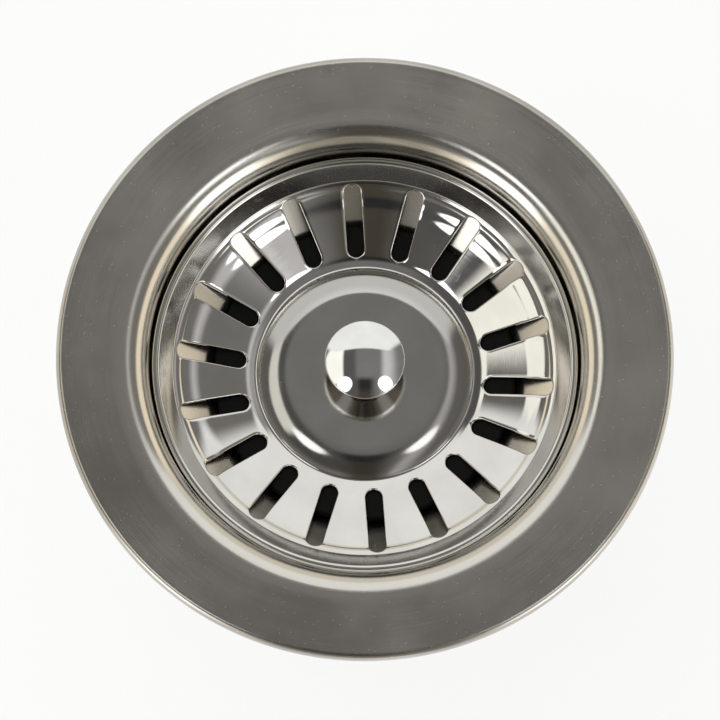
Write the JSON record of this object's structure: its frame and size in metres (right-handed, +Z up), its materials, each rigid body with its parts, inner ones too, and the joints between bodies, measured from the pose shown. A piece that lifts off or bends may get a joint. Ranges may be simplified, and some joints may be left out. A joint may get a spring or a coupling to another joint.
{
  "type": "basket strainer waste",
  "caption": "Round stainless sink waste with a lift-out slotted strainer basket and rubber stopper, clamped by one hollow screw to a moulded outlet with a threaded tail.",
  "frame": {"origin": "on the axis, in the plane of the sink deck, which is the underside of the flange gasket", "axes": "+Z up along the axis, out of the sink's drain; +Y is the far side in the picture"},
  "size_m": [0.114, 0.114, 0.0648],
  "materials": {
    "satin_steel": "satin stainless sheet",
    "polished_steel": "bright polished stainless sheet",
    "bright_chrome": "mirror plated",
    "bolt_steel": "plain stainless bar",
    "turned_brass": "machined",
    "white_moulding": "fine moulded grain",
    "gasket_rubber": "matt moulded",
    "stopper_rubber": "smooth moulded"
  },
  "bodies": {
    "waste": {"flange_cup": "satin_steel", "flange_gasket": "gasket_rubber", "under_sink_gasket": "gasket_rubber", "outlet_body": "white_moulding", "brass_insert": "turned_brass", "centre_bolt": "bolt_steel"},
    "basket": {"strainer_basket": "polished_steel", "knob": "bright_chrome", "stopper_seal": "stopper_rubber", "seal_retainer": "polished_steel", "stem": "turned_brass", "stem_o_ring": "stopper_rubber"}
  },
  "joints": [
    {"name": "basket_lift", "type": "slide", "parent": "waste", "child": "basket", "axis": [0, 0, 1], "range_m": [0, 0.045]}
  ]
}
